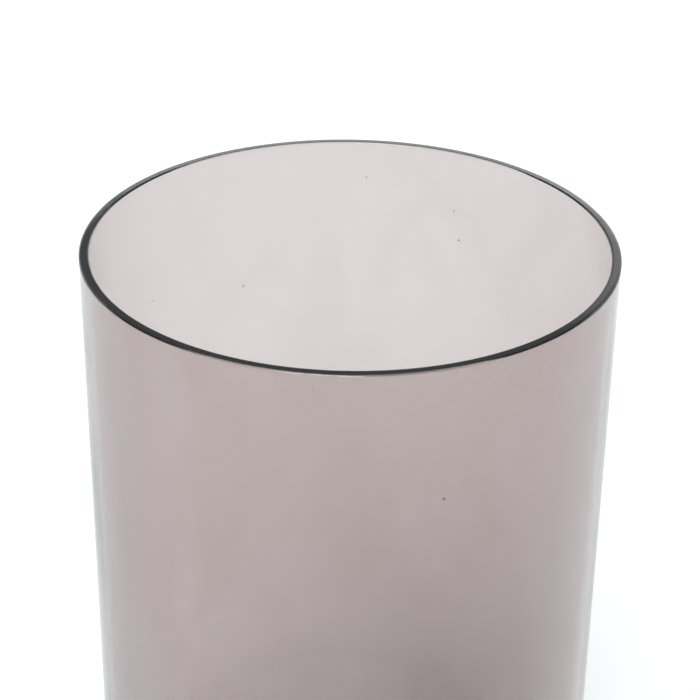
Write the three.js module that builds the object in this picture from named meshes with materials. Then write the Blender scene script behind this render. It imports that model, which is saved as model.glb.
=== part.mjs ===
// Glass cylinder vase: a straight round tube of 3.6 mm glass, fused onto a
// thick round base. Millimetres, +Z up. The origin is the middle of the
// circle that the vase stands on, and Z is the vase's axis of symmetry.
//
// Two bodies, which meet at the line where the tube is fused to its base:
//   glass_cylinder_wall  the straight tube, with a flat-ground rim
//   glass_base           the thick base: rounded heel, hollowed underside
//                        with a flat standing ring, and the coved inner corner
import * as THREE from "three";

// ---- driving dimensions ---------------------------------------------------
const OUTER_DIAMETER = 200;
const HEIGHT = 400;
const WALL = 3.6; // the same from the cove to the rim
const OUTER_ARRIS = 0.5; // bevel that breaks the rim's outer edge
const INNER_ARRIS = 0.35; // bevel that breaks the rim's inner edge

const BASE_THICKNESS = 9; // from the standing plane to the flat inside floor
const COVE_RADIUS = 6; // between the inside floor and the wall
const HEEL_RADIUS = 4.5; // outside bottom corner
const RING_WIDTH = 9; // flat ring that the vase stands on
const PUNT_RUN = 14; // width of the slope from the ring up into the punt
const PUNT_DEPTH = 1.8; // how far the underside is hollowed

const FUSION_GAP = 0.3; // between the two bodies at the fusion line
const SIDES = 96; // facets round the axis
const ARC_STEPS = 5; // facets in a quarter round

// ---- derived --------------------------------------------------------------
const OUTER_R = OUTER_DIAMETER / 2;
const INNER_R = OUTER_R - WALL;
const FUSION_Z = BASE_THICKNESS + COVE_RADIUS; // top of the cove
const RING_OUTER_R = OUTER_R - HEEL_RADIUS;
const RING_INNER_R = RING_OUTER_R - RING_WIDTH;
const PUNT_R = RING_INNER_R - PUNT_RUN;

const glass = (name, colour) =>
  new THREE.MeshStandardMaterial({
    name,
    color: colour,
    roughness: 0.04,
    metalness: 0,
    transparent: true,
    opacity: 0.4,
  });

// Points of a circular arc about (cr, cz), from angle a0 to a1 in degrees,
// both ends included.
function arc(cr, cz, radius, a0, a1, steps = ARC_STEPS) {
  const points = [];
  for (let i = 0; i <= steps; i++) {
    const a = ((a0 + ((a1 - a0) * i) / steps) * Math.PI) / 180;
    points.push([cr + radius * Math.cos(a), cz + radius * Math.sin(a)]);
  }
  return points;
}

// Turns an (r, z) profile about the Z axis. LatheGeometry turns about Y, so
// the geometry is stood up afterwards.
function turned(name, profile, material) {
  const points = profile.map(([r, z]) => new THREE.Vector2(r, z));
  const geometry = new THREE.LatheGeometry(points, SIDES);
  geometry.rotateX(Math.PI / 2);
  const mesh = new THREE.Mesh(geometry, material);
  mesh.name = name;
  return mesh;
}

// ---- the tube -------------------------------------------------------------
// Its profile closes on itself: up the outside, over the ground rim, down the
// inside, and across the foot where it is fused to the base.
const tubeFoot = FUSION_Z + FUSION_GAP;
const wallProfile = [
  [OUTER_R, tubeFoot],
  [OUTER_R, HEIGHT - OUTER_ARRIS],
  [OUTER_R - OUTER_ARRIS, HEIGHT],
  [INNER_R + INNER_ARRIS, HEIGHT],
  [INNER_R, HEIGHT - INNER_ARRIS],
  [INNER_R, tubeFoot],
  [OUTER_R, tubeFoot],
];

// ---- the base -------------------------------------------------------------
// Its profile starts and ends on the axis: out along the hollowed underside,
// round the heel, up to the fusion line, and back down the cove and over the
// inside floor.
const PUNT_MID_R = (RING_INNER_R + PUNT_R) / 2;
const baseProfile = [
  [0, PUNT_DEPTH],
  [PUNT_R, PUNT_DEPTH],
  [PUNT_R + PUNT_RUN * 0.22, PUNT_DEPTH * 0.9],
  [PUNT_MID_R, PUNT_DEPTH * 0.5],
  [RING_INNER_R - PUNT_RUN * 0.22, PUNT_DEPTH * 0.1],
  [RING_INNER_R, 0],
  ...arc(RING_OUTER_R, HEEL_RADIUS, HEEL_RADIUS, -90, 0),
  [OUTER_R, FUSION_Z],
  [INNER_R, FUSION_Z],
  ...arc(INNER_R - COVE_RADIUS, FUSION_Z, COVE_RADIUS, 0, -90).slice(1),
  [0, BASE_THICKNESS],
];

const vase = new THREE.Group();
vase.name = "glass_cylinder_vase";
vase.add(turned("glass_cylinder_wall", wallProfile, glass("wall_glass", 0xcfc8c7)));
vase.add(turned("glass_base", baseProfile, glass("base_glass", 0xb9b7b3)));

export default vase;
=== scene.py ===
import math

import bpy
import numpy as np
from mathutils import Matrix, Vector


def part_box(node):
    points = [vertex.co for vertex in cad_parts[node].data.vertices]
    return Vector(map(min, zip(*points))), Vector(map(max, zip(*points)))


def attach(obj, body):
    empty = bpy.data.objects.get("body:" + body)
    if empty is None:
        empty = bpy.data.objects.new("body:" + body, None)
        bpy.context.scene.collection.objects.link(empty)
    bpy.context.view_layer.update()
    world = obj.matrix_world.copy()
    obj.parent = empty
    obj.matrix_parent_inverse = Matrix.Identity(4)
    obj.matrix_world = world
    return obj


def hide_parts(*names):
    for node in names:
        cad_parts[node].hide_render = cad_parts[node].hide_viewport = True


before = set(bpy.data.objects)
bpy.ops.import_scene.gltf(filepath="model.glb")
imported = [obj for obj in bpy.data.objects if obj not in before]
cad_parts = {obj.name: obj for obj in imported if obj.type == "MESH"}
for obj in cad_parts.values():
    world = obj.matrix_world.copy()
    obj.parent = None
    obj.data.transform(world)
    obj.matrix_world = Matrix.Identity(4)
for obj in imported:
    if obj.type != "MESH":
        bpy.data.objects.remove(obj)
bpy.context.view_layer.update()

# ---------------------------------------------------------------- sizes ----
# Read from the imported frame: the wall node gives the height and the outer
# radius, the base node the fusion line. The rest repeats part.mjs, in metres.
w_lo, w_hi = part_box("glass_cylinder_wall")
b_lo, b_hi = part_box("glass_base")
H = w_hi.z
R = w_hi.x
WALL = 0.0036
RI = R - WALL
FUSION_Z = b_hi.z
BASE_T = 0.009
COVE_R = 0.006
HEEL_R = 0.0045
RING_W = 0.009
PUNT_RUN = 0.014
PUNT_D = 0.0018
OUT_ARRIS = 0.0005
IN_ARRIS = 0.00035

SEG = 384

# --------------------------------------------------------------- camera ----
FOCAL_PX = 1990.0
PITCH = math.radians(28.637)
ROLL = math.radians(0.856)
CAM_AT = Vector((0.0043 * R, -6.6604 * R, H + 3.1861 * R))

fw = Vector((0, math.cos(PITCH), -math.sin(PITCH)))
rt = Vector((1, 0, 0))
up = rt.cross(fw)
cx = math.cos(ROLL) * rt + math.sin(ROLL) * up
cy = -math.sin(ROLL) * rt + math.cos(ROLL) * up
cam_data = bpy.data.cameras.new("camera")
cam_data.sensor_width = 36.0
cam_data.lens = FOCAL_PX / 700.0 * 36.0
cam_data.clip_start, cam_data.clip_end = 0.01, 60.0
cam = bpy.data.objects.new("camera", cam_data)
bpy.context.scene.collection.objects.link(cam)
m = Matrix((cx, cy, -fw)).transposed().to_4x4()
m.translation = CAM_AT
cam.matrix_world = m
bpy.context.scene.camera = cam


# ------------------------------------------------------------ glass body ----
def arc(cr, cz, radius, a0, a1, steps):
    out = []
    for i in range(steps + 1):
        a = math.radians(a0 + (a1 - a0) * i / steps)
        out.append((cr + radius * math.cos(a), cz + radius * math.sin(a)))
    return out


def rounded(corner, before, after, radius, steps=3):
    """A corner of the profile, rounded off with a small circular arc."""
    c, p, q = (np.array(v, float) for v in (corner, before, after))
    u, v = (p - c) / np.linalg.norm(p - c), (q - c) / np.linalg.norm(q - c)
    half = math.acos(max(-1, min(1, float(u @ v)))) / 2
    d = radius / math.tan(half)
    mid = (u + v) / np.linalg.norm(u + v) * (radius / math.sin(half)) + c
    s, e = c + u * d - mid, c + v * d - mid
    a0, a1 = math.atan2(s[1], s[0]), math.atan2(e[1], e[0])
    da = (a1 - a0 + math.pi) % (2 * math.pi) - math.pi
    return [
        (mid[0] + radius * math.cos(a0 + da * i / steps), mid[1] + radius * math.sin(a0 + da * i / steps))
        for i in range(steps + 1)
    ]


def straight(p, q, n):
    """n points strictly between p and q."""
    return [
        (p[0] + (q[0] - p[0]) * i / (n + 1), p[1] + (q[1] - p[1]) * i / (n + 1))
        for i in range(1, n + 1)
    ]


def glass_profile():
    ring_out = R - HEEL_R
    ring_in = ring_out - RING_W
    punt = ring_in - PUNT_RUN
    prof = []
    for i in range(1, 9):  # hollowed underside, outwards from the axis
        prof.append((punt * i / 9, PUNT_D))
    for i in range(0, 13):
        t = i / 12
        s = t * t * (3 - 2 * t)
        prof.append((punt + PUNT_RUN * t, PUNT_D * (1 - s)))
    prof += straight((ring_in, 0), (ring_out, 0), 2)
    prof += arc(ring_out, HEEL_R, HEEL_R, -90, 0, 12)
    top = H - OUT_ARRIS
    n = 60
    prof += straight((R, HEEL_R), (R, top - 0.0015), n)
    prof.append((R, top - 0.0015))
    a, b = (R, top), (R - OUT_ARRIS, H)
    prof += rounded(a, (R, top - 0.002), b, 0.00018)
    prof += rounded(b, a, (RI, H), 0.00018)
    c, d = (RI + IN_ARRIS, H), (RI, H - IN_ARRIS)
    prof += straight(b, c, 3)
    prof += rounded(c, b, d, 0.00014)
    prof += rounded(d, c, (RI, H - 0.002), 0.00014)
    prof.append((RI, top - 0.0015))
    prof += straight((RI, top - 0.0015), (RI, FUSION_Z), n)
    cove = arc(RI - COVE_R, FUSION_Z, COVE_R, 0, -90, 12)
    prof += cove
    for i in range(8, 0, -1):
        prof.append(((RI - COVE_R) * i / 9, BASE_T))
    return prof


def wave(phi, z, kind):
    """How far the surface strays from a true cylinder, in metres."""
    if kind == "out":
        return (
            0.000035 * np.sin(2 * phi + 0.7 + 3 * z)
            + 0.00002 * np.sin(5 * phi + 1.9 - 9 * z)
            + 0.00001 * np.sin(11 * phi + 0.4 + 14 * z)
        )
    return (
        0.00006 * np.sin(3 * phi + 0.2 + 5 * z)
        + 0.00003 * np.sin(7 * phi + 2.2 - 11 * z)
        + 0.000014 * np.sin(13 * phi + 5.1 + 21 * z)
        + 0.000012 * np.sin(4 * phi + 60 * z)
    )


# Seeds: small air bubbles drawn out in the wall. Angle from +X in degrees, depth below the rim in mm, half width and
# half height in mm.
SEEDS = [
    (86.4, 15.9, 0.28, 0.40), (64.0, 26.5, 0.28, 0.40), (62.4, 39.2, 0.38, 0.50), (117.6, 62.2, 0.32, 0.45),
    (145.8, 53.6, 0.26, 0.40), (-96.9, 6.5, 0.26, 0.35), (-123.5, 39.9, 0.24, 0.35), (-70.3, 51.6, 0.50, 0.55),
    (-47.2, 60.3, 0.24, 0.35), (-66.2, 74.2, 0.28, 0.35), (-148.2, 109.7, 0.26, 0.40), (-102.2, 59.6, 0.24, 0.35),
    (12.0, 178.0, 0.32, 0.50), (-20.0, 104.0, 0.28, 0.45), (171.0, 212.0, 0.38, 0.55), (35.0, 339.0, 0.30, 0.40),
    (-135.0, 182.0, 0.32, 0.50), (-80.0, 226.0, 0.30, 0.40), (104.0, 148.0, 0.30, 0.55), (200.0, 86.0, 0.26, 0.40),
    (-48.0, 301.0, 0.32, 0.50), (66.0, 262.0, 0.26, 0.40), (-160.0, 288.0, 0.30, 0.45), (148.0, 331.0, 0.26, 0.40),
]


def seed_mesh(verts, faces):
    """Adds the bubbles to the body: closed shells whose faces look inwards, out of the glass into the air."""
    rings, segs = 6, 10
    for deg, depth, hw, hh in SEEDS:
        a = math.radians(deg)
        z0 = H * 1000 - depth
        rad = R - WALL * 0.5
        base = len(verts)
        for i in range(1, rings):
            t = math.pi * i / rings
            for j in range(segs):
                p = 2 * math.pi * j / segs
                u = hw * 1e-3 * math.sin(t) * math.cos(p)
                v = hw * 1e-3 * math.sin(t) * math.sin(p)
                verts.append([
                    (rad + u) * math.cos(a) - v * math.sin(a),
                    (rad + u) * math.sin(a) + v * math.cos(a),
                    z0 * 1e-3 + hh * 1e-3 * math.cos(t),
                ])
        top = len(verts)
        verts.append([rad * math.cos(a), rad * math.sin(a), z0 * 1e-3 + hh * 1e-3])
        verts.append([rad * math.cos(a), rad * math.sin(a), z0 * 1e-3 - hh * 1e-3])
        for i in range(rings - 2):
            for j in range(segs):
                jn = (j + 1) % segs
                faces.append((base + i * segs + j, base + i * segs + jn, base + (i + 1) * segs + jn, base + (i + 1) * segs + j))
        for j in range(segs):
            jn = (j + 1) % segs
            faces.append((top, base + jn, base + j))
            faces.append((top + 1, base + (rings - 2) * segs + j, base + (rings - 2) * segs + jn))


def lathe(name, prof, seg, pole_lo, pole_hi):
    prof = np.array(prof, float)
    k = len(prof)
    phi = np.arange(seg) * 2 * math.pi / seg
    r = np.repeat(prof[:, 0:1], seg, 1)
    z = np.repeat(prof[:, 1:2], seg, 1)
    p = np.repeat(phi[None, :], k, 0)
    fade_hi = np.clip((H - 0.001 - z) / 0.02, 0, 1)
    fade_lo = np.clip((z - FUSION_Z) / 0.03, 0, 1)
    fade = (fade_hi * fade_lo) ** 1.0
    outer = (r > R - 1e-6) & (z > HEEL_R)
    inner = (np.abs(r - RI) < 1e-6) & (z > FUSION_Z - 1e-6)
    r = r + np.where(outer, -0.00006 + wave(p, z, "out"), 0) * fade
    r = r + np.where(inner, wave(p, z, "in"), 0) * fade
    verts = np.stack([r * np.cos(p), r * np.sin(p), z], -1).reshape(-1, 3).tolist()
    lo, hi = len(verts), len(verts) + 1
    verts += [[0, 0, pole_lo], [0, 0, pole_hi]]
    faces = []
    for i in range(k - 1):
        for j in range(seg):
            jn = (j + 1) % seg
            faces.append((i * seg + j, i * seg + jn, (i + 1) * seg + jn, (i + 1) * seg + j))
    for j in range(seg):
        jn = (j + 1) % seg
        faces.append((lo, jn, j))
        faces.append((hi, (k - 1) * seg + j, (k - 1) * seg + jn))
    seed_mesh(verts, faces)
    mesh = bpy.data.meshes.new(name)
    mesh.from_pydata(verts, [], faces)
    mesh.validate()
    mesh.polygons.foreach_set("use_smooth", [True] * len(mesh.polygons))
    mesh.update()
    return mesh


body_mesh = lathe("glass_body", glass_profile(), SEG, PUNT_D, BASE_T)
body = bpy.data.objects.new("glass_body", body_mesh)
bpy.context.scene.collection.objects.link(body)


# -------------------------------------------------------------- material ----
def glass_material():
    """Smoky rose glass. The metal of the glass takes some of every colour and most of the green and blue, so walls
    look a rosy grey and the thick edges almost black. The skin takes a little more, in slight clouds, and it carries
    faint cords and a film of smudges."""
    mat = bpy.data.materials.new("vase_glass")
    mat.use_nodes = True
    nt = mat.node_tree
    nt.nodes.clear()
    out = nt.nodes.new("ShaderNodeOutputMaterial")
    bsdf = nt.nodes.new("ShaderNodeBsdfPrincipled")
    bsdf.inputs["Transmission Weight"].default_value = 1.0
    bsdf.inputs["IOR"].default_value = 1.5
    nt.links.new(bsdf.outputs["BSDF"], out.inputs["Surface"])
    tc = nt.nodes.new("ShaderNodeTexCoord")

    def noise(scale, stretch, detail, rough=0.5, warp=0.0):
        mp = nt.nodes.new("ShaderNodeMapping")
        mp.inputs["Scale"].default_value = stretch
        nt.links.new(tc.outputs["Object"], mp.inputs["Vector"])
        n = nt.nodes.new("ShaderNodeTexNoise")
        n.inputs["Scale"].default_value = scale
        n.inputs["Detail"].default_value = detail
        n.inputs["Roughness"].default_value = rough
        n.inputs["Distortion"].default_value = warp
        nt.links.new(mp.outputs["Vector"], n.inputs["Vector"])
        return n.outputs["Fac"]

    def ramp(fac, stops):
        r = nt.nodes.new("ShaderNodeValToRGB")
        r.color_ramp.interpolation = "EASE"
        e = r.color_ramp.elements
        e[0].position, e[0].color = stops[0][0], (*stops[0][1], 1)
        e[1].position, e[1].color = stops[-1][0], (*stops[-1][1], 1)
        for p, c in stops[1:-1]:
            e.new(p).color = (*c, 1)
        nt.links.new(fac, r.inputs["Fac"])
        return r.outputs["Color"]

    # clouds in the tint, a few centimetres across and drawn out along the wall
    cloud = noise(26.0, (1.0, 1.0, 0.55), 3.0, 0.55, 0.6)
    tint = ramp(cloud, [(0.30, (0.878, 0.796, 0.775)), (0.52, (0.897, 0.823, 0.805)), (0.72, (0.910, 0.847, 0.830))])
    nt.links.new(tint, bsdf.inputs["Base Color"])
    # film and smudges: a hint of roughness in patches
    film = noise(38.0, (1.0, 1.0, 0.8), 5.0, 0.62, 1.2)
    haze = ramp(film, [(0.50, (0.0, 0.0, 0.0)), (0.64, (0.012, 0.012, 0.012)), (0.80, (0.03, 0.03, 0.03))])
    nt.links.new(haze, bsdf.inputs["Roughness"])
    # cords: fine upright ripples left by the forming
    cords = noise(55.0, (1.0, 1.0, 0.10), 2.0, 0.45)
    bump = nt.nodes.new("ShaderNodeBump")
    bump.inputs["Strength"].default_value = 0.3
    bump.inputs["Distance"].default_value = 0.00016
    nt.links.new(cords, bump.inputs["Height"])
    nt.links.new(bump.outputs["Normal"], bsdf.inputs["Normal"])

    vol = nt.nodes.new("ShaderNodeVolumeAbsorption")
    vol.inputs["Color"].default_value = (0.42, 0.375, 0.38, 1)
    vol.inputs["Density"].default_value = 118.0
    nt.links.new(vol.outputs["Volume"], out.inputs["Volume"])
    return mat


body.data.materials.append(glass_material())
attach(body, "root")
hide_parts("glass_cylinder_wall", "glass_base")

# ----------------------------------------------------------------- stage ----
def link(name, mesh):
    o = bpy.data.objects.new(name, mesh)
    bpy.context.scene.collection.objects.link(o)
    return o


def nodes_of(mat_or_world):
    mat_or_world.use_nodes = True
    nt = mat_or_world.node_tree
    nt.nodes.clear()
    return nt


def floor_material():
    """White paper: diffuse, and a little self-lit far out so that it stays white up to the horizon."""
    mat = bpy.data.materials.new("floor_white")
    nt = nodes_of(mat)
    out = nt.nodes.new("ShaderNodeOutputMaterial")
    dif = nt.nodes.new("ShaderNodeBsdfDiffuse")
    dif.inputs["Color"].default_value = (0.9, 0.9, 0.9, 1)
    emi = nt.nodes.new("ShaderNodeEmission")
    emi.inputs["Color"].default_value = (1, 1, 1, 1)
    pos = nt.nodes.new("ShaderNodeNewGeometry")
    ln = nt.nodes.new("ShaderNodeVectorMath")
    ln.operation = "LENGTH"
    nt.links.new(pos.outputs["Position"], ln.inputs[0])
    ramp = nt.nodes.new("ShaderNodeMapRange")
    ramp.interpolation_type = "SMOOTHSTEP"
    ramp.inputs["From Min"].default_value = FLOOR_GLOW_FROM
    ramp.inputs["From Max"].default_value = FLOOR_GLOW_TO
    ramp.inputs["To Min"].default_value = 0.0
    ramp.inputs["To Max"].default_value = FLOOR_GLOW
    nt.links.new(ln.outputs["Value"], ramp.inputs["Value"])
    path = nt.nodes.new("ShaderNodeLightPath")
    over = nt.nodes.new("ShaderNodeMath")
    over.operation = "MULTIPLY_ADD"
    over.inputs[1].default_value = FLOOR_OVER
    nt.links.new(path.outputs["Is Camera Ray"], over.inputs[0])
    nt.links.new(ramp.outputs["Result"], over.inputs[2])
    nt.links.new(over.outputs["Value"], emi.inputs["Strength"])
    add = nt.nodes.new("ShaderNodeAddShader")
    nt.links.new(dif.outputs[0], add.inputs[0])
    nt.links.new(emi.outputs[0], add.inputs[1])
    nt.links.new(add.outputs[0], out.inputs["Surface"])
    return mat


FLOOR_GLOW, FLOOR_GLOW_FROM, FLOOR_GLOW_TO, FLOOR_OVER = 0.03, 0.3, 1.0, 0.16
floor_mesh = bpy.data.meshes.new("floor")
n_side = 96
ring = [(19.0 * math.cos(2 * math.pi * i / n_side), 19.0 * math.sin(2 * math.pi * i / n_side), -0.0002) for i in range(n_side)]
floor_mesh.from_pydata(ring, [], [tuple(range(n_side))])
floor_mesh.materials.append(floor_material())
floor = link("floor", floor_mesh)

# A white room: bright above, darker at mid height all round, white again at
# the horizon.
world = bpy.data.worlds.new("studio")
bpy.context.scene.world = world
nt = nodes_of(world)
w_out = nt.nodes.new("ShaderNodeOutputWorld")
w_bg = nt.nodes.new("ShaderNodeBackground")
w_tc = nt.nodes.new("ShaderNodeTexCoord")
w_sep = nt.nodes.new("ShaderNodeSeparateXYZ")
nt.links.new(w_tc.outputs["Generated"], w_sep.inputs[0])
w_ramp = nt.nodes.new("ShaderNodeValToRGB")
w_ramp.color_ramp.interpolation = "EASE"
el = w_ramp.color_ramp.elements


def sky(v):
    return (v, 1.045 * v, 1.065 * v, 1)


# height sin(elevation), radiance
SKY = [(0.0, 1.055), (0.30, 1.06), (0.375, 1.9), (0.392, 1.9), (0.428, 0.45), (0.56, 0.45), (0.75, 0.58), (1.0, 0.62)]
el[0].position, el[0].color = SKY[0][0], sky(SKY[0][1])
el[1].position, el[1].color = SKY[-1][0], sky(SKY[-1][1])
for p, v in SKY[1:-1]:
    e = el.new(p)
    e.color = sky(v)
nt.links.new(w_sep.outputs["Z"], w_ramp.inputs["Fac"])
# a lamp low behind, to the right: it shows only as a gleam on the rim
w_dot = nt.nodes.new("ShaderNodeVectorMath")
w_dot.operation = "DOT_PRODUCT"
nt.links.new(w_tc.outputs["Generated"], w_dot.inputs[0])
ga, ge = math.radians(9.5), math.radians(24.3)
w_dot.inputs[1].default_value = (math.sin(ga) * math.cos(ge), math.cos(ga) * math.cos(ge), math.sin(ge))
w_gleam = nt.nodes.new("ShaderNodeMapRange")
w_gleam.interpolation_type = "SMOOTHSTEP"
w_gleam.inputs["From Min"].default_value = math.cos(math.radians(4.5))
w_gleam.inputs["From Max"].default_value = math.cos(math.radians(1.0))
w_gleam.inputs["To Min"].default_value = 0.0
w_gleam.inputs["To Max"].default_value = 0.9
nt.links.new(w_dot.outputs["Value"], w_gleam.inputs["Value"])
w_add = nt.nodes.new("ShaderNodeVectorMath")
w_add.operation = "ADD"
nt.links.new(w_ramp.outputs["Color"], w_add.inputs[0])
nt.links.new(w_gleam.outputs["Result"], w_add.inputs[1])
nt.links.new(w_add.outputs["Vector"], w_bg.inputs["Color"])
w_bg.inputs["Strength"].default_value = 1.0
nt.links.new(w_bg.outputs[0], w_out.inputs["Surface"])


def sun(name, az, elev, spread, strength):
    """A broad soft light from far away: az in degrees from -Y towards -X."""
    d = bpy.data.lights.new(name, "SUN")
    d.angle = math.radians(spread)
    d.energy = strength
    d.color = (1.0, 1.045, 1.065)
    o = link(name, d)
    a, e = math.radians(az), math.radians(elev)
    back = Vector((-math.sin(a) * math.cos(e), -math.cos(a) * math.cos(e), math.sin(e)))
    o.rotation_mode = "QUATERNION"
    o.rotation_quaternion = (-back).to_track_quat("-Z", "Y")
    o.location = back * 3.0
    return o


sun("key", 14.0, 46.0, 34.0, 2.04)


sc = bpy.context.scene
sc.view_settings.view_transform = "Standard"
sc.view_settings.look = "None"
sc.cycles.max_bounces = 24
sc.cycles.transmission_bounces = 24
sc.cycles.glossy_bounces = 16
sc.cycles.diffuse_bounces = 3
sc.cycles.caustics_refractive = True
sc.cycles.caustics_reflective = True
sc.cycles.use_denoising = True

bpy.context.view_layer.update()
